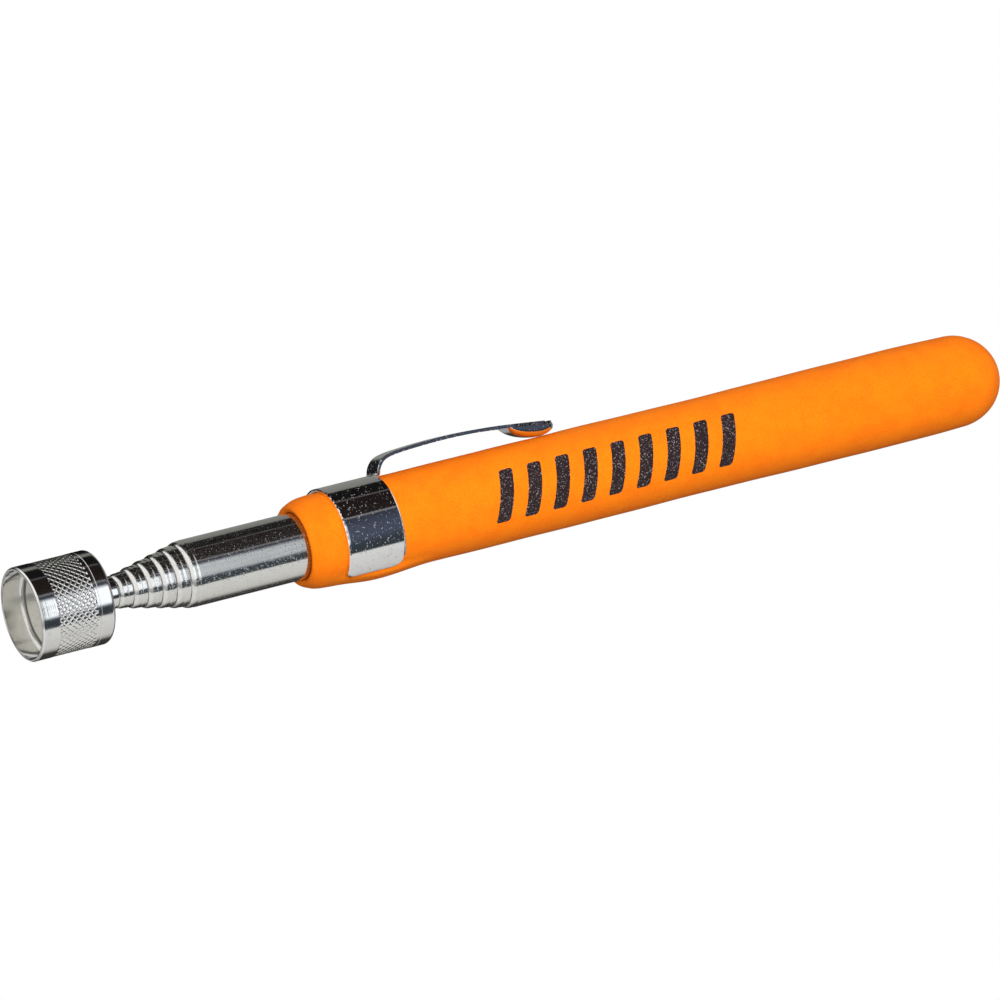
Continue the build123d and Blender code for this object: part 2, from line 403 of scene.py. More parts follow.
class Graph:
    """Builder of one material's or world's node tree."""

    def __init__(self, tree: bpy.types.NodeTree) -> None:
        """Empty the tree and keep it.

        Args:
            tree: The node tree to fill.
        """
        self.tree = tree
        tree.nodes.clear()

    def node(self, kind: str, settings: Optional[dict] = None, inputs: Optional[dict] = None) -> Any:
        """Add one node.

        Args:
            kind: Node type.
            settings: Properties of the node, set before its sockets.
            inputs: Values, Values or output sockets by socket name or number.

        Returns:
            The new node.
        """
        made = self.tree.nodes.new(kind)
        for key, setting in (settings or {}).items():
            if key == "stops":
                self._set_stops(made.color_ramp, setting)
            else:
                setattr(made, key, setting)
        for key, given in (inputs or {}).items():
            source = given.socket if isinstance(given, Value) else given
            if isinstance(source, bpy.types.NodeSocket):
                self.tree.links.new(source, made.inputs[key])
            else:
                made.inputs[key].default_value = source
        return made

    @staticmethod
    def _set_stops(ramp: bpy.types.ColorRamp, stops: Sequence[tuple[float, Sequence[float]]]) -> None:
        """Give a ramp its stops, each a place and a colour."""
        while len(ramp.elements) < len(stops):
            ramp.elements.new(1.0)
        for element, (place, colour) in zip(ramp.elements, stops):
            element.position = place
            element.color = (*colour, 1.0)

    def millimetres(self) -> tuple[Value, Value, Value, Any]:
        """Object coordinates in millimetres, as three values and as a vector socket."""
        source = self.node("ShaderNodeTexCoord").outputs["Object"]
        scaled = self.node("ShaderNodeVectorMath", {"operation": "SCALE"}, {0: source, "Scale": 1 / MM})
        parts = self.node("ShaderNodeSeparateXYZ", inputs={0: scaled.outputs[0]})
        x, y, z = (Value(self, parts.outputs[place]) for place in range(3))
        return x, y, z, scaled.outputs[0]

    def noise(self, vector: Any, scale: float, detail: float = 2.0, roughness: float = 0.5) -> Value:
        """Noise from 0 to 1 about 0.5.

        Args:
            vector: Socket of the place in millimetres.
            scale: Waves in a millimetre.
            detail: Number of finer layers.
            roughness: Strength of the finer layers.

        Returns:
            The noise.
        """
        inputs = {"Vector": vector, "Scale": scale, "Detail": detail, "Roughness": roughness}
        return Value(self, self.node("ShaderNodeTexNoise", inputs=inputs).outputs[0])

    def stretched(self, vector: Any, factors: Sequence[float]) -> Any:
        """A vector with each part multiplied by a factor."""
        settings = {"operation": "MULTIPLY"}
        return self.node("ShaderNodeVectorMath", settings, {0: vector, 1: tuple(factors)}).outputs[0]

    def mix(self, share: Any, first: Any, second: Any) -> Any:
        """Colour that is first where share is 0 and second where it is 1."""
        colours = [(*c, 1.0) if isinstance(c, tuple) else c for c in (first, second)]
        settings = {"data_type": "RGBA"}
        return self.node("ShaderNodeMix", settings, {0: share, 6: colours[0], 7: colours[1]}).outputs[2]

    def bump(self, height: Value, distance_mm: float, strength: float = 1.0) -> Any:
        """Normal of a surface raised by a height times distance_mm."""
        inputs = {"Height": height, "Distance": distance_mm * MM, "Strength": strength}
        return self.node("ShaderNodeBump", inputs=inputs).outputs[0]


def new_material(name: str) -> tuple[bpy.types.Material, Graph]:
    """New material, and the graph of its emptied node tree."""
    made = bpy.data.materials.new(name)
    made.use_nodes = True
    return made, Graph(made.node_tree)


@dataclass(frozen=True)
class Finish:
    """A surface finish that can build its material.

    Attributes:
        name: Name of the material.
        colour: Main colour, linear.
        roughness: Middle roughness.
    """

    name: str
    colour: Colour
    roughness: float

    def material(self) -> bpy.types.Material:
        """Build the material.

        Returns:
            The material with its node tree filled.
        """
        made, graph = new_material(self.name)
        shader = graph.node("ShaderNodeBsdfPrincipled", inputs=self.sockets(graph))
        graph.node("ShaderNodeOutputMaterial", inputs={"Surface": shader.outputs[0]})
        return made

    def sockets(self, graph: Graph) -> dict:
        """Values and links of the shader's sockets.

        Args:
            graph: The material's graph.

        Returns:
            Socket values or links by socket name.
        """
        raise NotImplementedError


@dataclass(frozen=True)
class Metal(Finish):
    """Metal whose surface is partly mirror-bright and partly dull with fine grain.

    Attributes:
        dull_share: Share of the surface that is dull.
        dull_roughness: Roughness of the dull part.
    """

    dull_share: float = 0.3
    dull_roughness: float = 0.42

    def material(self) -> bpy.types.Material:
        """Build the material from a bright and a dull metal, mixed by a fine grain.

        Returns:
            The material with its node tree filled.
        """
        made, graph = new_material(self.name)
        sockets = self.sockets(graph)
        kind = "ShaderNodeBsdfPrincipled"
        bright = graph.node(kind, inputs=sockets).outputs[0]
        dull = graph.node(kind, inputs={**sockets, "Roughness": self.dull_roughness}).outputs[0]
        _, _, _, place = graph.millimetres()
        grain = graph.noise(place, 3.2, 3.0, 0.7)
        share = (self.dull_share * (1 + (grain - 0.5) * 5)).at_least(0.0).at_most(1.0)
        mixed = graph.node("ShaderNodeMixShader", inputs={0: share, 1: bright, 2: dull})
        graph.node("ShaderNodeOutputMaterial", inputs={"Surface": mixed.outputs[0]})
        return made


@dataclass(frozen=True)
class PolishedPlate(Metal):
    """Bright plated metal with faint waves, hairlines and handling haze.

    Attributes:
        wave_mm: Height of the slow waves.
        hairline: Strength of the fine hairlines.
        stretch: How the hairlines are drawn out, by axis.
        haze: Extra roughness where the plate is hazy.
        pit_mm: Depth of the fine pits.
        pit_level: Noise level above which there is a pit, so a high one leaves few.
    """

    wave_mm: float = 0.012
    hairline: float = 0.0006
    stretch: Colour = (0.35, 3.0, 3.0)
    haze: float = 0.03
    pit_mm: float = 0.004
    pit_level: float = 0.60

    def sockets(self, graph: Graph) -> dict:
        """Metal whose reflections swim a little and whose plate is hazy in patches."""
        _, _, _, place = graph.millimetres()
        lines = graph.noise(graph.stretched(place, self.stretch), 6.0, 3.0, 0.6)
        waves = graph.noise(graph.stretched(place, (0.5, 1.0, 1.0)), 0.45, 1.0)
        patches = graph.noise(place, 0.6, 4.0, 0.65)
        pits = graph.noise(place, 3.0, 2.0, 0.6).ease(self.pit_level, self.pit_level + 0.1)
        height = waves * self.wave_mm + lines * self.hairline - pits * self.pit_mm
        rough = self.roughness + patches.ease(0.45, 0.75) * self.haze
        dull = tuple(0.82 * part for part in self.colour)
        return {
            "Base Color": graph.mix(patches.ease(0.5, 0.8) * 0.5, self.colour, dull),
            "Metallic": 1.0,
            "Roughness": rough,
            "Normal": graph.bump(height, 1.0),
        }


@dataclass(frozen=True)
class TurnedSteel(Metal):
    """Plated steel from the lathe, with fine feed rings and a painted highlight that brightens the knurl
    grooves.

    Attributes:
        ring_pitch_mm: Distance between feed rings.
        knurl_low_mm: Radius under which the knurl's grooves get a brighter base colour, a painted highlight.
        knurl_high_mm: Radius of the knurl's flats.
        knurl_start_mm: Place along the axis where the knurl starts.
        knurl_end_mm: Place along the axis where it ends.
        stain: Colour of the faint stains.
    """

    ring_pitch_mm: float = 0.22
    knurl_low_mm: float = 6.88
    knurl_high_mm: float = 6.97
    knurl_start_mm: float = 2.8
    knurl_end_mm: float = 8.9
    stain: Colour = (0.45, 0.42, 0.38)

    def sockets(self, graph: Graph) -> dict:
        """Metal with rings across the axis, softened by noise, and a painted highlight in the knurl's
        grooves.
        """
        x, y, z, place = graph.millimetres()
        radius = (y * y + z * z).root()
        wobble = graph.noise(place, 1.6, 3.0)
        ring = graph.noise(graph.stretched(place, (1 / self.ring_pitch_mm, 0.03, 0.03)), 1.0, 2.0)
        facing = graph.noise(graph.node("ShaderNodeCombineXYZ", inputs={0: radius}).outputs[0], 4.0, 2.0)
        rough = self.roughness + wobble.ease(0.4, 0.8) * 0.06
        in_band = x.ease(self.knurl_start_mm - 0.1, self.knurl_start_mm)
        in_band = in_band * (1 - x.ease(self.knurl_end_mm, self.knurl_end_mm + 0.1))
        # Painted highlight: deep in the knurl's grooves the base colour is made brighter than on the flats.
        groove = (1 - radius.ease(self.knurl_low_mm, self.knurl_high_mm)) * in_band
        groove = groove * radius.ease(self.knurl_low_mm - 0.2, self.knurl_low_mm - 0.1)
        bright = tuple(min(1.0, 1.12 * part) for part in self.colour)
        groove_highlighted_colour = graph.mix(groove, self.colour, bright)
        return {
            "Base Color": graph.mix(wobble.ease(0.55, 0.85) * 0.3, groove_highlighted_colour, self.stain),
            "Metallic": 1.0,
            "Roughness": rough,
            "Normal": graph.bump(ring * 0.011 + facing * 0.002, 1.0),
        }


@dataclass(frozen=True)
class NickelFace(Finish):
    """Satin nickel plate on a pressed magnet, with fine grain and small scuffs."""

    def sockets(self, graph: Graph) -> dict:
        """Metal with an even fine grain and a few brighter scuffs."""
        _, _, _, place = graph.millimetres()
        grain = graph.noise(place, 14.0, 3.0, 0.6)
        scuff = graph.noise(graph.stretched(place, (1.0, 0.5, 4.0)), 1.2, 4.0, 0.6)
        dull = tuple(0.8 * part for part in self.colour)
        return {
            "Base Color": graph.mix(scuff.ease(0.4, 0.7) * 0.5, self.colour, dull),
            "Metallic": 1.0,
            "Roughness": self.roughness + scuff.ease(0.45, 0.7) * 0.10,
            "Normal": graph.bump(grain * 0.001, 1.0),
        }


@dataclass(frozen=True)
class SpringBronze(Metal):
    """Rolled spring bronze, tarnished in patches and rubbed bright along its length."""

    tarnish: Colour = (0.30, 0.17, 0.08)

    def sockets(self, graph: Graph) -> dict:
        """Metal with rolling lines along the axis and patches of tarnish."""
        _, _, _, place = graph.millimetres()
        lines = graph.noise(graph.stretched(place, (0.2, 4.0, 4.0)), 3.0, 3.0)
        patch = graph.noise(place, 0.7, 4.0, 0.6)
        return {
            "Base Color": graph.mix(patch.ease(0.45, 0.7) * 0.6, self.colour, self.tarnish),
            "Metallic": 1.0,
            "Roughness": self.roughness + patch.ease(0.4, 0.7) * 0.2,
            "Normal": graph.bump(lines * 0.004, 1.0),
        }


@dataclass(frozen=True)
class MouldedPlastic(Finish):
    """Dark moulded plastic with a fine spark-eroded texture."""

    scuff: Colour = (0.10, 0.10, 0.10)

    def sockets(self, graph: Graph) -> dict:
        """Plastic with a fine texture and paler scuffs."""
        _, _, _, place = graph.millimetres()
        grain = graph.noise(place, 9.0, 3.0, 0.65)
        rub = graph.noise(place, 0.8, 4.0, 0.6)
        return {
            "Base Color": graph.mix(rub.ease(0.5, 0.8) * 0.5, self.colour, self.scuff),
            "Roughness": self.roughness + grain.ease(0.3, 0.7) * 0.15,
            "Normal": graph.bump(grain * 0.012, 1.0),
        }


@dataclass(frozen=True)
class CuredEpoxy(Finish):
    """Amber cured adhesive with small bubbles."""

    deep: Colour = (0.30, 0.20, 0.08)

    def sockets(self, graph: Graph) -> dict:
        """Glossy resin, darker in its thicker patches, with bubbles that pit it."""
        _, _, _, place = graph.millimetres()
        patch = graph.noise(place, 0.9, 3.0)
        cells = graph.node("ShaderNodeTexVoronoi", inputs={"Vector": place, "Scale": 2.2})
        bubble = 1 - Value(graph, cells.outputs["Distance"]).ease(0.05, 0.2)
        return {
            "Base Color": graph.mix(patch.ease(0.4, 0.7), self.colour, self.deep),
            "Roughness": self.roughness + patch.ease(0.3, 0.7) * 0.2,
            "Normal": graph.bump(0.0 - bubble * 0.03, 1.0),
        }


@dataclass(frozen=True)
class PrintedFoam(Finish):
    """Closed-cell foam with a printed row of slanted bars on the side towards -Y.

    Attributes:
        edge_colour: Deeper colour of the foam's slow blotches.
        skin_radius: Radius of the foam, for the print's arc length.
        print_start: Place along the axis where the first bar starts.
        bar_pitch: Distance from bar to bar.
        bar_count: Number of bars.
        bar_half_width: Half a bar's width.
        bar_half_height: Half a bar's height round the foam.
        bar_round: Radius of a bar's corners.
        slant: How far a bar leans along the axis for each millimetre of height.
        ink: Colour of the ink.
        fleck: Colour of the flecks in the ink.
        pale_cell: Colour of the paler cells.
        deep_cell: Colour of the deeper cells.
        worn_ink: Colour of the ink where it is thin.
    """

    edge_colour: Colour = (0.90, 0.150, 0.003)
    skin_radius: float = 7.1
    print_start: float = 74.2
    bar_pitch: float = 4.75
    bar_count: int = 9
    bar_half_width: float = 1.15
    bar_half_height: float = 4.0
    bar_round: float = 0.5
    slant: float = 0.28
    ink: Colour = (0.022, 0.014, 0.015)
    fleck: Colour = (0.30, 0.24, 0.25)
    pale_cell: Colour = (0.97, 0.29, 0.02)
    deep_cell: Colour = (0.80, 0.125, 0.002)
    worn_ink: Colour = (0.10, 0.08, 0.085)

    def ink_mask(self, x: Value, around: Value, fray: Value) -> Value:
        """Where the bars are.

        A bar's local place is the fraction of its pitch about its middle. The distance to its
        edge is that of a box with round corners: the length of the part outside the inner box,
        less the corner's radius.

        Args:
            x: Place along the axis.
            around: Arc length round the foam, from the side towards -Y, upwards.
            fray: Small noise that roughens the edge, about zero.

        Returns:
            1 in the ink and 0 outside it.
        """
        run = (x - around * self.slant - self.print_start) / self.bar_pitch
        local = (run.fraction() - 0.5) * self.bar_pitch
        across = (abs(local) - (self.bar_half_width - self.bar_round)).at_least(0.0)
        along = (abs(around) - (self.bar_half_height - self.bar_round)).at_least(0.0)
        distance = (across * across + along * along).root() - self.bar_round + fray
        inside = 1 - distance.ease(-0.04, 0.04)
        first = run.ease(-0.001, 0.001)
        last = 1 - run.ease(self.bar_count - 0.001, self.bar_count + 0.001)
        return inside * first * last

    def sockets(self, graph: Graph) -> dict:
        """Foam with fine cells, slow blotches and speckled ink."""
        x, y, z, place = graph.millimetres()
        around = z.angle_from(0.0 - y) * self.skin_radius
        cells = graph.node("ShaderNodeTexVoronoi", inputs={"Vector": place, "Scale": 3.4})
        pit = Value(graph, cells.outputs["Distance"])
        grain = graph.noise(place, 5.0, 3.0, 0.6)
        blotch = graph.noise(place, 0.35, 3.0, 0.55)
        fray = (grain - 0.5) * 0.16
        mask = self.ink_mask(x, around, fray)
        speck = graph.noise(place, 4.6, 1.5, 0.6)
        gap = speck.ease(0.60, 0.66)
        pale = grain.ease(0.60, 0.74)
        foam = graph.mix(blotch.ease(0.35, 0.7) * 0.5, self.colour, self.edge_colour)
        foam = graph.mix(grain.ease(0.52, 0.72) * 0.55, foam, self.pale_cell)
        foam = graph.mix((1 - grain.ease(0.30, 0.46)) * 0.6, foam, self.deep_cell)
        ink = graph.mix(pale * 0.5, self.ink, self.worn_ink)
        ink = graph.mix(gap * 0.85, ink, self.fleck)
        height = grain * 0.05 - pit * 0.02 - mask * 0.01
        return {
            "Base Color": graph.mix(mask, foam, ink),
            "Roughness": self.roughness - mask * 0.25,
            "Specular IOR Level": 0.15,
            "Normal": graph.bump(height, 1.0),
        }


# ---------------------------------------------------------------------------------------------
# Sub-assemblies
# ---------------------------------------------------------------------------------------------


@dataclass
class MagnetHead:
    """Knurled cup, magnet and collar at the tip.

    Attributes:
        bore_radius: Radius of the cup's free bore.
        seat_radius: Radius of the bore behind the shoulder.
        shoulder_x: Where the free bore ends.
        recess: Depth of the magnet's face.
        knurl_start: Start of the knurl.
        knurl_rear_margin: Plain length behind the knurl.
        knurl_depth: Depth of the grooves.
        knurl_half_width: Half the width of a groove across it.
        knurl_starts: Number of grooves round the cup in each direction.
        knurl_relief: How far the flats lie under the plain bands.
        steps_per_groove: Steps round the cup for each groove.
        magnet_ease: Radius of the magnet's front edge.
        steel: Finish of the turned pieces.
        nickel: Finish of the magnet.
    """

    bore_radius: float = 6.5
    seat_radius: float = 6.1
    shoulder_x: float = 3.0
    recess: float = 3.4
    knurl_start: float = 2.7
    knurl_rear_margin: float = 2.8
    knurl_depth: float = 0.085
    knurl_half_width: float = 0.11
    knurl_starts: int = 44
    knurl_relief: float = 0.03
    steps_per_groove: int = 14
    magnet_ease: float = 0.3
    steel: TurnedSteel = TurnedSteel(
        "Turned steel", (0.86, 0.86, 0.86), roughness=0.08, dull_share=0.08, dull_roughness=0.25
    )
    nickel: NickelFace = NickelFace("Nickel face", (0.72, 0.71, 0.63), roughness=0.34)

    def cup_outline(self, rear_x: float, radius: float, rod_radius: float) -> Array:
        """Section of the cup, from the mouth's inner edge round the outside to the bore.

        Args:
            rear_x: Rear face of the cup.
            radius: Outer radius.
            rod_radius: Radius of the hole for the rod.

        Returns:
            Places (x, r) round the section.
        """
        knurl_end = rear_x - self.knurl_rear_margin
        line_x = knurl_end + 0.45
        return np.vstack([
            arc((0.08, self.bore_radius + 0.08), 0.08, 270, 180, 4),
            arc((0.10, radius - 0.22), 0.10, 180, 135, 3),
            arc((0.30, radius - 0.10), 0.10, 135, 90, 4),
            straight((0.5, radius), (self.knurl_start - 0.05, radius), 6),
            straight((self.knurl_start, radius), (knurl_end, radius), 78),
            straight((knurl_end + 0.05, radius), (line_x - 0.12, radius), 3),
            straight((line_x - 0.06, radius - 0.035), (line_x + 0.06, radius - 0.035), 2),
            straight((line_x + 0.12, radius), (rear_x - 0.7, radius), 4),
            arc((rear_x - 0.6, radius - 0.6), 0.6, 90, 0, 9),
            straight((rear_x, radius - 0.8), (rear_x, rod_radius + 0.1), 4),
            straight((rear_x - 0.1, rod_radius), (rear_x - 2.4, rod_radius), 3),
            straight((rear_x - 2.4, rod_radius + 0.1), (rear_x - 2.4, self.seat_radius), 3),
            straight((self.recess, self.seat_radius), (self.shoulder_x + 0.06, self.seat_radius), 2),
            straight((self.shoulder_x, self.seat_radius + 0.06), (self.shoulder_x, self.bore_radius), 3),
            straight((self.shoulder_x - 0.1, self.bore_radius), (0.15, self.bore_radius), 10),
        ])

    def knurl(self, x: Array, radius: Array, turn: Array, rear_x: float, outer: float) -> Array:
        """Change of radius that cuts the diamond knurl.

        Two families of grooves lean at 45 degrees, one each way. The place across a family is the
        arc length plus or minus the axial length, over the pitch. A groove is a V: its depth falls
        in a straight line from its middle to nothing at its half width.

        Args:
            x: Places along the axis.
            radius: Radii before the cut.
            turn: Angles round the axis.
            rear_x: Rear face of the cup.
            outer: Outer radius.

        Returns:
            Radius to add, none of it above zero.
        """
        knurl_end = rear_x - self.knurl_rear_margin
        pitch = 2 * math.pi * outer / self.knurl_starts
        arc_length = turn * outer
        depths = []
        for lean in (1.0, -1.0):
            run = (arc_length + lean * (x - self.knurl_start)) / pitch
            gap = np.abs(run - np.round(run)) * pitch / math.sqrt(2)
            depths.append(np.clip(1 - gap / self.knurl_half_width, 0, 1))
        groove = np.maximum(depths[0], depths[1])
        inside = (x > self.knurl_start - 0.01) & (x < knurl_end + 0.01) & (radius > outer - 0.01)
        fade = smooth_step((x - self.knurl_start) / 0.25) * smooth_step((knurl_end - x) / 0.25)
        return np.where(inside, -fade * (self.knurl_relief + self.knurl_depth * groove), 0.0)

    def magnet_outline(self, front: float, rear: float, radius: float) -> Array:
        """Section of the magnet with an eased front edge, from the axis to the axis."""
        ease = self.magnet_ease
        return np.vstack([
            straight((front, 0), (front, radius - ease - 0.05), 10),
            arc((front + ease, radius - ease), ease, 180, 90, 7),
            straight((front + ease + 0.1, radius), (rear - 0.1, radius), 3),
            straight((rear, radius - 0.1), (rear, 0), 3),
        ])

    def collar_outline(self, front: float, rear: float, radius: float, bore: float) -> Array:
        """Section of the collar with a rounded rear edge and a fine groove behind the cup."""
        ease = 0.22
        return np.vstack([
            straight((front, bore), (front, radius - 0.05), 3),
            straight((front + 0.05, radius), (front + 0.55, radius), 3),
            arc((front + 0.7, radius), 0.1, 180, 360, 5),
            straight((front + 0.85, radius), (rear - ease - 0.1, radius), 6),
            arc((rear - ease, radius - ease), ease, 90, 0, 6),
            straight((rear, radius - ease - 0.05), (rear, bore), 2),
        ])

    def build(self) -> None:
        """Make the cup, the magnet and the collar."""
        steel = self.steel.material()
        _, rear_x, outer = node_span("head_cup")
        magnet_front, magnet_rear, magnet_radius = node_span("disc_magnet")
        collar_front, collar_rear, collar_radius = node_span("tip_collar")
        rod_radius = node_span("rod")[2]

        def cut(x: Array, radius: Array, turn: Array) -> Array:
            """Knurl of this cup."""
            return self.knurl(x, radius, turn, rear_x, outer)

        outline = self.cup_outline(rear_x, outer, rod_radius)
        cup = turned_mesh("knurled_cup", outline, self.steps_per_groove * self.knurl_starts, cut)
        shade(cup, 24.0)
        add_piece(cup, Body.TIP.value, steel, ["head_cup"])
        outline = self.magnet_outline(magnet_front, magnet_rear, magnet_radius)
        magnet = turned_mesh("magnet_disc", outline, 128, loop=False)
        add_piece(magnet, Body.TIP.value, self.nickel.material(), ["disc_magnet"])
        outline = self.collar_outline(collar_front, collar_rear, collar_radius, rod_radius)
        collar = turned_mesh("turned_collar", outline, 128)
        add_piece(collar, Body.TIP.value, steel, ["tip_collar"])


@dataclass
class TelescopingTubes:
    """Outer tube, five moving tubes and the rod.

    Attributes:
        wall: Wall of every tube.
        clearance: Gap between a swaged end and the next section.
        swage_length: Length of the swaged end.
        swage_taper: Length of the blend behind it.
        swage_step: How far the swaged end lies under the tube.
        nose_length: Length of the domed nose.
        nose_drop: How far the nose curves in at its front.
        groove_depth: Depth of the sleeve groove.
        groove_margin: Room at each end of the sleeve.
        plate: Finish of the tubes.
    """

    wall: float = 0.28
    clearance: float = 0.05
    swage_length: float = 1.15
    swage_taper: float = 0.35
    swage_step: float = 0.05
    nose_length: float = 0.85
    nose_drop: float = 0.29
    groove_depth: float = 0.12
    groove_margin: float = 0.1
    plate: PolishedPlate = PolishedPlate(
        "Polished tube",
        (0.86, 0.86, 0.85),
        roughness=0.05,
        dull_share=0.18,
        dull_roughness=0.34,
        pit_mm=0.012,
    )

    def rear_outline(self, sleeve: Optional[str], radius: float, rear: float) -> Array:
        """Outside of a section at its inner end, with the groove of its sleeve where it has one."""
        if sleeve is None:
            return straight((rear - 1.0, radius), (rear - 0.1, radius), 2)
        start, end, _ = node_span(sleeve)
        floor = radius - self.groove_depth
        return np.vstack([
            straight((start - self.groove_margin, radius), (start - self.groove_margin, floor), 2),
            straight((end + self.groove_margin, floor), (end + self.groove_margin, radius), 2),
            straight((rear - 0.3, radius), (rear - 0.1, radius), 2),
        ])

    def tube_outline(self, node: str, next_radius: float, sleeve: Optional[str]) -> Array:
        """Section of a tube, from the throat of its swaged end round the outside to the bore.

        Args:
            node: CAD node of the tube.
            next_radius: Radius of the section that slides in it.
            sleeve: CAD node of its own friction sleeve, or None.

        Returns:
            Places (x, r) round the section.
        """
        front, rear, radius = node_span(node)
        throat = next_radius + self.clearance
        bore = radius - self.wall
        outside = radius - self.swage_step
        end = front + self.swage_length
        share = np.linspace(0.0, 1.0, 9)
        rise = outside + self.swage_step * smooth_step(share)
        blend = np.stack([end + share * self.swage_taper, rise], axis=1)
        drop = bore + (throat - bore) * smooth_step(share)
        inner_blend = np.stack([end + (1 - share) * self.swage_taper, drop], axis=1)
        nose_radius = (self.nose_length**2 + self.nose_drop**2) / (2 * self.nose_drop)
        nose_turn = math.degrees(math.asin(self.nose_length / nose_radius))
        centre = (front + self.nose_length, outside - nose_radius)
        return np.vstack([
            straight((front + 0.12, throat), (front + 0.03, throat + 0.03), 3),
            arc(centre, nose_radius, 90 + nose_turn, 90, 20),
            straight((front + self.nose_length + 0.1, outside), (end - 0.1, outside), 5),
            blend,
            straight((end + self.swage_taper + 0.5, radius), (rear - 12.0, radius), 40),
            self.rear_outline(sleeve, radius, rear),
            straight((rear, radius - 0.1), (rear, bore + 0.05), 2),
            straight((rear - 0.1, bore), (end + self.swage_taper + 0.5, bore), 12),
            inner_blend,
        ])

    def rod_outline(self) -> Array:
        """Section of the solid rod, from the axis to the axis."""
        front, rear, radius = node_span("rod")
        return np.vstack([
            straight((front, 0), (front, radius - 0.1), 2),
            straight((front + 0.1, radius), (rear - 12.0, radius), 40),
            self.rear_outline("friction_sleeve_7", radius, rear),
            straight((rear, radius - 0.1), (rear, 0), 2),
        ])

    def build(self) -> None:
        """Make the tubes and the rod."""
        plate = self.plate.material()
        nodes = ["outer_tube"] + [f"tube_{number}" for number in range(2, 7)]
        bodies = [Body.HANDLE.value] + [f"section_{number}" for number in range(2, 7)]
        radii = [node_span(node)[2] for node in nodes] + [node_span("rod")[2]]
        for place, (node, body) in enumerate(zip(nodes, bodies)):
            sleeve = f"friction_sleeve_{place + 1}" if place else None
            outline = self.tube_outline(node, radii[place + 1], sleeve)
            mesh = turned_mesh(f"drawn_{node}", outline, 144)
            add_piece(mesh, body, plate, [node])
        rod = turned_mesh("inner_rod", self.rod_outline(), 96, loop=False)
        add_piece(rod, Body.TIP.value, plate, ["rod"])


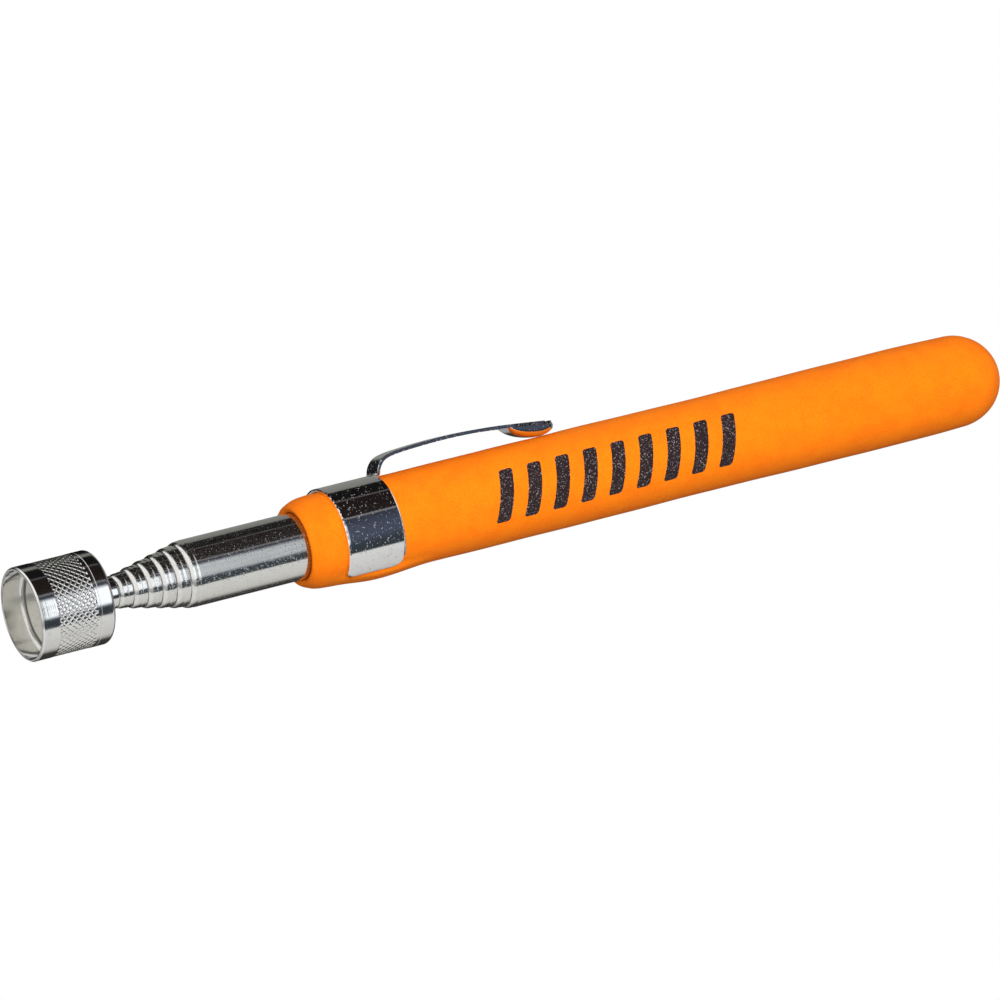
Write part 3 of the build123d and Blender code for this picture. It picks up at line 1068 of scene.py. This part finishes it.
@dataclass
class FoamGrip:
    """Closed foam sleeve with the dents and swells that its band and its stretch give it.

    Attributes:
        lip: Smooth run of the front, as places (x, r) from the hole to the outside.
        mouth_radius: Radius of the hole's relieved mouth.
        mouth_depth: Depth of that mouth.
        mouth_lead: Distance from the lip's front at which the mouth starts.
        waist: Smooth run of the outside, as places (x, r).
        dome_centre: Centre of the closed round end.
        rest_radius: Radius of the foam by the band before the band presses it.
        band_seat: Radius of the foam under the band.
        press_reach: How far from the band the foam is still drawn in.
        bulge_height: How far the foam swells out through the band's gap.
        bulge_reach: Half the angle over which it swells, in degrees.
        bulge_crest: Distance of its highest place from the band's front.
        bulge_ahead: How far it reaches from there towards the head.
        bulge_behind: How far it reaches from there towards the closed end.
        dent: Depth of the dent under the clip's foot.
        dent_x: Middle of the dent along the axis.
        dent_length: Its reach along the axis.
        dent_angle: Its reach round the axis, in degrees.
        lumps: Height of the slow unevenness.
        foam: Finish of the foam.
    """

    lip: tuple = (
        (44.62, 5.12),
        (44.42, 5.40),
        (44.32, 5.68),
        (44.50, 5.98),
        (45.10, 6.32),
        (46.00, 6.66),
        (47.30, 6.86),
        (48.60, 6.96),
    )
    mouth_radius: float = 5.1
    mouth_depth: float = 1.6
    mouth_lead: float = 0.6
    waist: tuple = (
        (48.8, 6.98),
        (50.4, 7.06),
        (61.5, 7.06),
        (70.0, 7.08),
        (93.0, 7.10),
        (113.0, 7.04),
        (127.0, 7.11),
        (136.0, 7.18),
        (144.0, 7.205),
        (151.0, 7.165),
        (157.5, 7.01),
    )
    dome_centre: float = 157.6
    rest_radius: float = 7.06
    band_seat: float = 6.93
    press_reach: float = 1.6
    bulge_height: float = 0.58
    bulge_reach: float = 36.0
    bulge_crest: float = 6.6
    bulge_ahead: float = 7.0
    bulge_behind: float = 9.5
    dent: float = 0.05
    dent_x: float = 86.8
    dent_length: float = 2.6
    dent_angle: float = 11.0
    lumps: float = 0.018
    foam: PrintedFoam = PrintedFoam("Printed foam", (0.92, 0.205, 0.0035), roughness=0.8)

    def outline(self, bore_radius: float, bore_end: float, end: float) -> Array:
        """Section of the sleeve: round lip, outside, dome, and back along the bore.

        Args:
            bore_radius: Radius of the tube inside.
            bore_end: Where the bore is closed.
            end: Closed end of the foam.

        Returns:
            Places (x, r), starting and ending on the axis.
        """
        front = min(x for x, _ in self.lip)
        mouth_start, mouth_end = front + self.mouth_lead, front + self.mouth_depth
        waist = natural_spline(np.array(self.waist), 300)
        tail = end - self.dome_centre
        dome_turn = np.radians(np.linspace(88, 0, 34))[:, None]
        last = waist[-1, 1]
        dome = np.hstack([self.dome_centre + tail * np.cos(dome_turn), last * np.sin(dome_turn) ** 0.96])
        return np.vstack([
            straight((bore_end, 0), (bore_end, bore_radius), 4),
            straight((bore_end - 2.0, bore_radius), (mouth_end, bore_radius), 20),
            straight((mouth_end, self.mouth_radius), (mouth_start, self.mouth_radius), 3),
            natural_spline(np.array(self.lip), 46),
            waist,
            dome,
        ])

    def swell(self, x: Array, radius: Array, turn: Array) -> Array:
        """Change of the outer radius by band, gap, clip and stretch.

        The band presses the foam to its seat with soft shoulders each side. Below the axis the
        foam swells through the gap: a raised cosine along the axis times one round it. Under the
        clip's foot is a small round dent. Slow sine waves keep the skin from being perfect.

        Args:
            x: Places along the axis.
            radius: Radii before the change.
            turn: Angles from +Z.

        Returns:
            Radius to add.
        """
        band_front = node_span("clip_band")[0]
        band_rear = band_front + BAND_LENGTH
        outside = smooth_step((radius - 6.0) / 0.8) * (x < self.dome_centre + 3)
        before = smooth_step((x - band_front) / self.press_reach + 1)
        after = smooth_step((band_rear - x) / self.press_reach + 1)
        pressed = before * after
        from_bottom = np.degrees(np.abs(np.angle(np.exp(1j * (turn - math.pi)))))
        window = smooth_step((self.bulge_reach - from_bottom) / 12.0)
        crest = band_front + self.bulge_crest
        side = np.where(x < crest, self.bulge_ahead, self.bulge_behind)
        hump = np.cos(np.clip((x - crest) / side, -1, 1) * math.pi / 2) ** 2
        pressed_in = self.rest_radius - self.band_seat
        squeeze = -pressed * (1 - window) * pressed_in
        from_top = np.degrees(np.angle(np.exp(1j * turn)))
        foot = np.hypot((x - self.dent_x) / self.dent_length, from_top / self.dent_angle)
        dent = self.dent * np.exp(-foot**2)
        waves = np.sin(x * 0.21 + 2 * turn) + 0.7 * np.sin(x * 0.47 - 3 * turn + 1.3)
        bulge = window * hump * (self.bulge_height - pressed_in)
        return outside * (squeeze + bulge - dent + self.lumps * waves)

    def build(self) -> None:
        end = node_span("grip_sleeve")[1]
        bore_radius = node_span("outer_tube")[2]
        bore_end = node_span("end_plug")[1]
        outline = self.outline(bore_radius, bore_end, end)
        mesh = turned_mesh("foam_grip", outline, 200, self.swell, loop=False)
        piece = add_piece(mesh, Body.HANDLE.value, self.foam.material(), ["grip_sleeve"])


@dataclass
class PocketClip:
    """One stamping: a band round the grip, a stem and a blade with a pressed foot.

    The flat blank is a T. Its place s runs across it, round the grip, and its place t runs along
    the tool's axis and then up the stem and along the blade.

    Attributes:
        band_radius: Radius of the middle of the band's sheet.
        half_angle: Half the angle that the band covers.
        front_round: Corner radius at the band's front.
        rear_round: Corner radius at its rear.
        width: Width of the stem and blade.
        root_inset: Distance from the band's rear edge at which the stem bends up.
        bend_radius: Radius of that bend.
        rise_angle: Angle of the stem to the axis.
        blade: Smooth middle line of the stem and blade beyond the bend, as places (x, z).
        tip_round: Radius of the blade's tip.
        foot_x: Lowest place of the pressed foot.
        foot_lead: Its length from where it starts to its lowest place.
        foot_trail: Its length from there to its end.
        foot_half_width: Half its width.
        foot_low: Height of its lowest point above the axis.
        sheet: Thickness of the stamping.
        flex_start: Place on the stem where the flex starts; not used.
        flex_end: Place on the stem where it ends; not used.
        chrome: Finish of the clip.
    """

    band_radius: float = 7.21
    half_angle: float = 146.0
    front_round: float = 1.0
    rear_round: float = 2.0
    width: float = 3.8
    root_inset: float = 0.25
    bend_radius: float = 0.72
    rise_angle: float = 72.0
    blade: tuple = (
        (60.18, 8.89),
        (60.76, 9.36),
        (61.87, 9.75),
        (64.2, 10.02),
        (72.4, 10.25),
        (78.9, 9.95),
        (84.7, 9.35),
        (89.6, 8.75),
    )
    tip_round: float = 1.8
    foot_x: float = 86.9
    foot_lead: float = 4.8
    foot_trail: float = 2.55
    foot_half_width: float = 1.85
    foot_low: float = 7.1
    sheet: float = 0.5
    flex_start: tuple = (59.0, 0.0, 7.5)
    flex_end: tuple = (60.4, 0.0, 9.1)
    chrome: PolishedPlate = PolishedPlate(
        "Clip chrome",
        (0.90, 0.90, 0.92),
        roughness=0.025,
        dull_share=0.04,
        dull_roughness=0.3,
        wave_mm=0.006,
        hairline=0.0003,
        pit_mm=0.028,
        pit_level=0.635,
    )

    def middle_line(self, band_front: float, band_rear: float) -> Array:
        """Middle line of the stamping in the XZ plane, closely spaced.

        It is straight along the band, turns up through an arc, and goes on as a natural spline
        through the blade's places.

        Args:
            band_front: Front of the band.
            band_rear: Rear of the band.

        Returns:
            Places (x, z).
        """
        bend_x = band_rear - self.root_inset
        centre = (bend_x, self.band_radius + self.bend_radius)
        bend = arc(centre, self.bend_radius, -90, self.rise_angle - 90, 12)
        rise = math.radians(self.rise_angle)
        lead = bend[-1] + 0.12 * np.array([math.cos(rise), math.sin(rise)])
        course = np.vstack([bend[-1], lead, np.array(self.blade)])
        return np.vstack([
            straight((band_front, self.band_radius), (bend_x - 0.02, self.band_radius), 400),
            bend,
            natural_spline(course, 1600)[1:],
        ])

    def along(self, line: Array, t: Array) -> tuple[Array, Array]:
        """Places on the middle line and its upward normals at lengths t."""
        steps = np.linalg.norm(np.diff(line, axis=0), axis=1)
        length = np.concatenate([[0.0], np.cumsum(steps)])
        slope = np.gradient(line, length, axis=0)
        slope /= np.linalg.norm(slope, axis=1)[:, None]
        place = np.stack([np.interp(t, length, line[:, axis]) for axis in (0, 1)], axis=-1)
        tangent = np.stack([np.interp(t, length, slope[:, axis]) for axis in (0, 1)], axis=-1)
        normal = np.stack([-tangent[..., 1], tangent[..., 0]], axis=-1)
        return place, normal

    def fold(self, line: Array, s: Array, t: Array, band_length: float) -> Array:
        """Fold places of the blank into space.

        Across the sheet the section is an arc whose curvature is the band's on the band and fades
        to nothing up the stem. Away from the stem the band stays straight along the axis, so the
        bend fades out over a short distance each side of the stem. The foot is a dome pressed
        down: its depth is the power 0.55 of one less the square of its share along the blade,
        times the power 0.4 of one less the sixth power of its share across.

        Args:
            line: Middle line from middle_line.
            s: Places across the blank.
            t: Places along it.
            band_length: Length of the band along the axis.

        Returns:
            Points (x, y, z).
        """
        place, normal = self.along(line, t)
        flat_place = np.stack([line[0, 0] + t, np.full_like(t, self.band_radius)], axis=-1)
        flat_normal = np.zeros_like(normal) + (0.0, 1.0)
        half = self.width / 2
        lift = 1 - smooth_step((np.abs(s) - half) / 1.3)
        lift = np.where(t > band_length, 1.0, lift)[..., None]
        place = flat_place * (1 - lift) + place * lift
        normal = flat_normal * (1 - lift) + normal * lift
        fade = 1 - smooth_step((t - band_length + self.root_inset) / 3.0)
        curvature = np.maximum(fade / self.band_radius, 1e-5)
        y = np.sin(curvature * s) / curvature
        drop = (np.cos(curvature * s) - 1) / curvature
        past = self.along(line, t)[0][..., 0] - self.foot_x
        dome = np.clip(1 - (past / np.where(past < 0, self.foot_lead, self.foot_trail)) ** 2, 0, 1) ** 0.55
        dome *= np.clip(1 - (s / self.foot_half_width) ** 6, 0, 1) ** 0.4
        foot_z = np.interp(self.foot_x, line[:, 0], line[:, 1])
        depth = foot_z - self.foot_low - self.sheet / 2
        offset = drop - depth * dome
        x = place[..., 0] + normal[..., 0] * offset
        z = place[..., 1] + normal[..., 1] * offset
        return np.stack([x, y, z], axis=-1)

    def across_band(self) -> tuple[Array, int]:
        """Places across the band, and how many of them lie in the stem's width."""
        half = self.width / 2
        stem = half * np.sin(np.linspace(-math.pi / 2, math.pi / 2, 25))
        reach = math.radians(self.half_angle) * self.band_radius
        middle = straight((half + 0.15, 0), (reach - self.rear_round, 0), 52)[:, 0]
        corner = cosine_spaced(reach - self.rear_round, reach, 12)[1:]
        side = np.concatenate([middle, corner])
        return np.concatenate([-side[::-1], stem, side]), len(stem)

    def band_margins(self, s: Array) -> tuple[Array, Array]:
        """How far the round corners cut into the band's front and rear at places s."""
        reach = math.radians(self.half_angle) * self.band_radius
        margins = []
        for corner in (self.front_round, self.rear_round):
            past = np.clip(np.abs(s) - (reach - corner), 0, corner)
            margins.append(corner - np.sqrt(corner**2 - past**2))
        return margins[0], margins[1]

    def blank(self, line: Array, band_length: float) -> tuple[Array, Array]:
        """Folded sheet of the whole stamping.

        Args:
            line: Middle line from middle_line.
            band_length: Length of the band along the axis.

        Returns:
            Points and quads. The stem's first row is the middle of the band's last row.
        """
        s, stem_count = self.across_band()
        bend_start = band_length - self.root_inset
        front_rows = np.linspace(0, bend_start, 22)
        rear_rows = np.linspace(bend_start, band_length, 12)[1:]
        share = np.concatenate([front_rows, rear_rows]) / band_length
        front_cut, rear_cut = self.band_margins(s)
        t = front_cut + (band_length - front_cut - rear_cut) * share[:, None]
        band = self.fold(line, s + 0 * t, t, band_length)
        total = np.linalg.norm(np.diff(line, axis=0), axis=1).sum()
        start = (len(s) - stem_count) // 2
        stem_s = s[start : start + stem_count]
        foot_rows = total - self.foot_lead - self.foot_trail - 2.0
        rows = np.concatenate([
            np.linspace(band_length, band_length + 4, 26)[1:],
            np.linspace(band_length + 4, foot_rows, 40)[1:],
            np.linspace(foot_rows, total - self.tip_round, 40)[1:],
            cosine_spaced(total - self.tip_round, total, 14)[1:],
        ])
        past = np.clip(rows - (total - self.tip_round), 0, self.tip_round)
        half = self.width / 2
        narrow = (half - self.tip_round + np.sqrt(self.tip_round**2 - past**2)) / half
        blade = self.fold(line, stem_s * narrow[:, None], rows[:, None] + 0 * stem_s, band_length)
        points = np.vstack([band.reshape(-1, 3), blade.reshape(-1, 3)])
        band_faces = grid_faces(len(share), len(s), False, False)
        last_row = (len(share) - 1) * len(s) + start + np.arange(stem_count)
        first = band.shape[0] * band.shape[1]
        numbers = np.vstack([last_row, first + np.arange(len(rows) * stem_count).reshape(-1, stem_count)])
        corners = [numbers[:-1, :-1], numbers[:-1, 1:], numbers[1:, 1:], numbers[1:, :-1]]
        blade_faces = np.stack(corners, axis=-1).reshape(-1, 4)
        return points, np.vstack([band_faces, blade_faces])

    def thicken(self, mesh: bpy.types.Mesh) -> bpy.types.Mesh:
        """Give the sheet its thickness and rounded edges.

        Args:
            mesh: Middle surface in metres.

        Returns:
            A new closed mesh, named as the piece.
        """
        sheet = bpy.data.objects.new(mesh.name, mesh)
        bpy.context.scene.collection.objects.link(sheet)
        solid = sheet.modifiers.new("Sheet", "SOLIDIFY")
        solid.thickness = self.sheet * MM
        solid.offset = 0.0
        solid.use_quality_normals = True
        edge = sheet.modifiers.new("Edge", "BEVEL")
        edge.width = 0.15 * MM
        edge.segments = 3
        edge.limit_method = "ANGLE"
        edge.angle_limit = math.radians(50)
        graph = bpy.context.evaluated_depsgraph_get()
        made = bpy.data.meshes.new_from_object(sheet.evaluated_get(graph))
        bpy.data.objects.remove(sheet)
        bpy.data.meshes.remove(mesh)
        made.name = "pocket_clip"
        close_and_orient(made)
        shade(made, 50.0)
        return made

    def build(self) -> None:
        """Make the stamping."""
        band_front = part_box("clip_band")[0][0] / MM
        band_rear = band_front + BAND_LENGTH
        line = self.middle_line(band_front, band_rear)
        points, faces = self.blank(line, BAND_LENGTH)
        mesh = self.thicken(mesh_from("clip_sheet", points, faces))
        piece = add_piece(mesh, None, self.chrome.material(), ["clip_band", "clip_blade"])
        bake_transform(piece)


@dataclass
class InnerParts:
    """Pieces that keep their CAD shape and get their finish here.

    Attributes:
        bronze: Finish of the friction sleeves.
        plug: Finish of the end plug.
        spacer: Finish of the magnet's spacer.
        adhesive: Finish of the adhesive.
    """

    bronze: SpringBronze = SpringBronze("Spring bronze", (0.72, 0.50, 0.26), roughness=0.22, dull_share=0.4)
    plug: MouldedPlastic = MouldedPlastic("Plug plastic", (0.02, 0.02, 0.022), roughness=0.5)
    spacer: MouldedPlastic = MouldedPlastic(
        "Spacer plastic", (0.20, 0.19, 0.17), roughness=0.42, scuff=(0.30, 0.29, 0.26)
    )
    adhesive: CuredEpoxy = CuredEpoxy("Cured epoxy", (0.55, 0.42, 0.20), roughness=0.18)

    def build(self, nodes: dict) -> None:
        """Assign the finishes.

        Args:
            nodes: CAD objects by node name.
        """
        finishes = {f"friction_sleeve_{number}": self.bronze for number in range(2, 8)}
        finishes["end_plug"] = self.plug
        finishes["magnet_spacer"] = self.spacer
        finishes["magnet_adhesive"] = self.adhesive
        made: dict[str, bpy.types.Material] = {}
        for node, finish in finishes.items():
            if finish.name not in made:
                made[finish.name] = finish.material()
            for slot in nodes[node].material_slots:
                slot.material = made[finish.name]
            LOG.info("%s: finish %s", node, finish.name)


# ---------------------------------------------------------------------------------------------
# Studio
# ---------------------------------------------------------------------------------------------


def towards(azimuth: float, elevation: float) -> Vector:
    """Unit vector at an azimuth from -Y and an elevation, both in degrees."""
    turn, rise = math.radians(azimuth), math.radians(elevation)
    return Vector((math.sin(turn) * math.cos(rise), -math.cos(turn) * math.cos(rise), math.sin(rise)))


@dataclass(frozen=True)
class Card:
    """Studio card beside the tool, seen only in mirror finishes.

    Attributes:
        name: Name of the card.
        angle: Direction of its middle round X, from -Y over +Z, in degrees.
        distance: Distance from the tool's axis, in millimetres.
        span: Places along X where it starts and ends.
        half_height: Half its height.
        strength: Brightness of its end by the head.
        far_share: Brightness of its other end, as a share of that.
    """

    name: str
    angle: float
    distance: float
    span: tuple[float, float]
    half_height: float
    strength: float
    far_share: float

    def material(self) -> bpy.types.Material:
        """Glow that is mottled and fades out towards the card's upper and lower edges.

        Returns:
            The card's material.
        """
        made, graph = new_material(self.name)
        x, y, z, place = graph.millimetres()
        turn = math.radians(self.angle)
        height = y * math.sin(turn) + z * math.cos(turn)
        middle = sum(self.span) / 2
        along = 1 - x.ease(middle - 6, middle + 2) * (1 - self.far_share)
        level = along * (graph.noise(place, 0.12, 3.0) * 0.6 + 0.7) * self.strength
        glow = graph.node("ShaderNodeEmission", inputs={"Color": (0.93, 0.97, 1.0, 1.0), "Strength": level})
        clear = graph.node("ShaderNodeBsdfTransparent")
        fade = abs(height).ease(0.55 * self.half_height, self.half_height)
        mixed = graph.node("ShaderNodeMixShader", inputs={0: fade, 1: glow.outputs[0], 2: clear.outputs[0]})
        graph.node("ShaderNodeOutputMaterial", inputs={"Surface": mixed.outputs[0]})
        return made

    def build(self) -> None:
        """Stand the card at its place, square to its direction."""
        turn = math.radians(self.angle)
        middle = np.array([0.0, -math.cos(turn), math.sin(turn)]) * self.distance
        up = np.array([0.0, math.sin(turn), math.cos(turn)]) * self.half_height
        low, high = (np.array([x, 0.0, 0.0]) for x in self.span)
        corners = np.array([middle + low - up, middle + high - up, middle + high + up, middle + low + up])
        mesh = mesh_from(self.name, corners, np.array([[0, 1, 2, 3]]))
        mesh.materials.append(self.material())
        card = bpy.data.objects.new(self.name, mesh)
        card.visible_camera = False
        card.visible_diffuse = False
        card.visible_transmission = False
        card.visible_shadow = False
        bpy.context.scene.collection.objects.link(card)
        card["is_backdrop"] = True
        LOG.info("%s at %.0f degrees", self.name, self.angle)


@dataclass
class Studio:
    """Camera, floor, lights and surroundings.

    Attributes:
        target: Point in the middle of the picture, in millimetres.
        azimuth: Direction of the camera round Z, 0 looking along +Y.
        elevation: Height of the camera above the horizon.
        roll: Turn of the camera about its own line of sight.
        distance: Distance of the camera from the target, in millimetres.
        lens: Focal length.
        floor_colour: Colour of the floor.
        surroundings: Grey of the surroundings by angle round X, from -Y over +Z.
        bright_card: Card that the head and the tubes mirror.
        dark_card: Card that the top of the cup mirrors.
    """

    target: tuple = (78.7, 0.0, -0.70)
    azimuth: float = -26.0
    elevation: float = 2.0
    roll: float = 13.11
    distance: float = 1245.0
    lens: float = 303.0
    floor_colour: Colour = (1.0, 1.0, 1.0)
    surroundings: tuple = (
        (-180, (0.28, 0.28, 0.27)),
        (-172, (0.05, 0.05, 0.05)),
        (-150, (0.03, 0.03, 0.03)),
        (-125, (0.05, 0.045, 0.04)),
        (-114, (0.42, 0.41, 0.39)),
        (-104, (0.60, 0.59, 0.56)),
        (-49, (0.72, 0.72, 0.70)),
        (-46, (0.03, 0.04, 0.045)),
        (-30, (0.035, 0.045, 0.055)),
        (-16, (0.06, 0.075, 0.11)),
        (10, (0.055, 0.065, 0.10)),
        (31, (0.03, 0.035, 0.05)),
        (35, (0.24, 0.23, 0.23)),
        (38, (0.012, 0.008, 0.007)),
        (80, (0.010, 0.006, 0.005)),
        (82, (0.13, 0.12, 0.12)),
        (85, (0.004, 0.003, 0.003)),
        (116, (0.004, 0.004, 0.004)),
        (120, (0.20, 0.20, 0.18)),
        (150, (0.25, 0.25, 0.23)),
        (180, (0.28, 0.28, 0.27)),
    )
    bright_card: Card = Card(
        "Bright card",
        angle=0.0,
        distance=60.0,
        span=(22.0, 71.8),
        half_height=29.0,
        strength=1.25,
        far_share=0.45,
    )
    dark_card: Card = Card(
        "Dark card",
        angle=148.0,
        distance=40.0,
        span=(12.0, 34.2),
        half_height=23.0,
        strength=0.006,
        far_share=1.0,
    )

    def add_camera(self) -> None:
        """Put the camera where the target is seen at the wanted angle and roll."""
        turn, roll = math.radians(self.azimuth), math.radians(self.roll)
        back = towards(self.azimuth, self.elevation)
        right = Vector((math.cos(turn), math.sin(turn), 0.0))
        up = back.cross(right)
        rolled_right = right * math.cos(roll) - up * math.sin(roll)
        rolled_up = right * math.sin(roll) + up * math.cos(roll)
        place = (Vector(self.target) + back * self.distance) * MM
        data = bpy.data.cameras.new("Camera")
        data.lens = self.lens
        data.sensor_width = 36.0
        data.clip_start = 0.01
        data.clip_end = 50.0
        camera = bpy.data.objects.new("Camera", data)
        turned = Matrix((rolled_right, rolled_up, back)).transposed().to_4x4()
        camera.matrix_world = Matrix.Translation(place) @ turned
        bpy.context.scene.collection.objects.link(camera)
        bpy.context.scene.camera = camera

    def add_floor(self, height: float) -> None:
        """Lay a pale even floor at a height in metres."""
        side = 4.0
        corners = [(-side, -side, height), (side, -side, height), (side, side, height), (-side, side, height)]
        mesh = bpy.data.meshes.new("Floor")
        mesh.from_pydata(corners, [], [(0, 1, 2, 3)])
        material, graph = new_material("Floor")
        glow = graph.node("ShaderNodeEmission", inputs={"Color": (*self.floor_colour, 1.0), "Strength": 1.0})
        graph.node("ShaderNodeOutputMaterial", inputs={"Surface": glow.outputs[0]})
        mesh.materials.append(material)
        floor = bpy.data.objects.new("Floor", mesh)
        floor.visible_glossy = False
        floor.visible_diffuse = False
        bpy.context.scene.collection.objects.link(floor)
        floor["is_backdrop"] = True

    def add_light(self, name: str, azimuth: float, elevation: float, size: float, power: float) -> None:
        """Add a soft square light that faces the tool and isn't mirrored in its metal.

        Args:
            name: Name of the light.
            azimuth: Direction round Z.
            elevation: Height above the horizon.
            size: Side of the square in metres.
            power: Power in watts.
        """
        back = towards(azimuth, elevation)
        data = bpy.data.lights.new(name, "AREA")
        data.size = size
        data.energy = power
        light = bpy.data.objects.new(name, data)
        facing = back.to_track_quat("Z", "Y").to_matrix().to_4x4()
        light.matrix_world = Matrix.Translation(Vector(self.target) * MM + back) @ facing
        light.visible_glossy = False
        bpy.context.scene.collection.objects.link(light)

    def add_surroundings(self) -> None:
        """Grey surroundings for reflections, soft light on dull surfaces and a plain white view.

        Metal mirrors a ramp of greys round the tool's axis. The surroundings are pale beyond the
        head with a dark belt in that, and grey past the grip. Dull surfaces meet a soft light
        that is a little stronger from above and from the grip's side.
        """
        world = bpy.data.worlds.new("Surroundings")
        bpy.context.scene.world = world
        world.use_nodes = True
        graph = Graph(world.node_tree)
        direction = graph.node("ShaderNodeTexCoord").outputs["Generated"]
        parts = graph.node("ShaderNodeSeparateXYZ", inputs={0: direction})
        x, y, z = (Value(graph, parts.outputs[place]) for place in range(3))
        mottle = graph.noise(direction, 5.0, 4.0, 0.6)
        turns = z.angle_from(0.0 - y) / (2 * math.pi) + 0.5
        angle = turns + (mottle - 0.5) * 0.012
        stops = [(place / 360 + 0.5, colour) for place, colour in self.surroundings]
        ramp = graph.node("ShaderNodeValToRGB", {"stops": stops}, {0: angle}).outputs[0]
        upper = turns.ease(0.40, 0.46) * (1 - turns.ease(0.82, 0.90))
        ahead = x + turns.ease(0.62, 0.75) * 0.15
        near_head = (1 - ahead.ease(-0.05, 0.15)) * (1 - turns.ease(0.90, 0.94)) * (0.35 + upper * 0.65)
        belt = (1 - x.ease(-0.78, -0.66)) * x.ease(-0.90, -0.84)
        under_head = turns.ease(0.88, 0.92) * (1 - x.ease(0.0, 0.25))
        past_grip = x.ease(0.72, 0.9)
        pale, belt_grey, black, grip_grey = (0.95, 0.94, 0.92), (0.02,) * 3, (0.01,) * 3, (0.22, 0.22, 0.23)
        mirrored = graph.mix(near_head, ramp, pale)
        mirrored = graph.mix(belt, mirrored, belt_grey)
        mirrored = graph.mix(under_head, mirrored, black)
        mirrored = graph.mix(past_grip, mirrored, grip_grey)
        path = graph.node("ShaderNodeLightPath")
        is_mirror = Value(graph, path.outputs["Is Glossy Ray"])
        is_seen = Value(graph, path.outputs["Is Camera Ray"])
        soft = (0.40 + z * 0.06 + x * 0.06) * (1 - is_seen) + is_seen
        glow = graph.node("ShaderNodeBackground", inputs={"Color": (1, 1, 1, 1), "Strength": soft})
        grey = graph.node("ShaderNodeBackground", inputs={"Color": mirrored, "Strength": 1.0})
        shares = {0: is_mirror, 1: glow.outputs[0], 2: grey.outputs[0]}
        both = graph.node("ShaderNodeMixShader", inputs=shares)
        graph.node("ShaderNodeOutputWorld", inputs={"Surface": both.outputs[0]})

    def build(self, lowest: float) -> None:
        """Set up the whole studio.

        Args:
            lowest: Height of the tool's lowest point, in metres.
        """
        bpy.context.scene.view_settings.view_transform = "Standard"
        self.add_camera()
        self.add_floor(lowest)
        self.add_light("Front light", azimuth=self.azimuth + 14, elevation=6.0, size=0.5, power=16.5)
        self.bright_card.build()
        self.dark_card.build()
        self.add_surroundings()


def main() -> None:
    """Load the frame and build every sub-assembly in order."""
    logging.basicConfig(level=logging.INFO, format="%(name)s: %(message)s")
    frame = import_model()
    cad_low, cad_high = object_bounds()
    Studio().build(cad_low[2])
    MagnetHead().build()
    TelescopingTubes().build()
    FoamGrip().build()
    PocketClip().build()
    InnerParts().build(frame["nodes"])


if __name__ == "__main__":
    main()
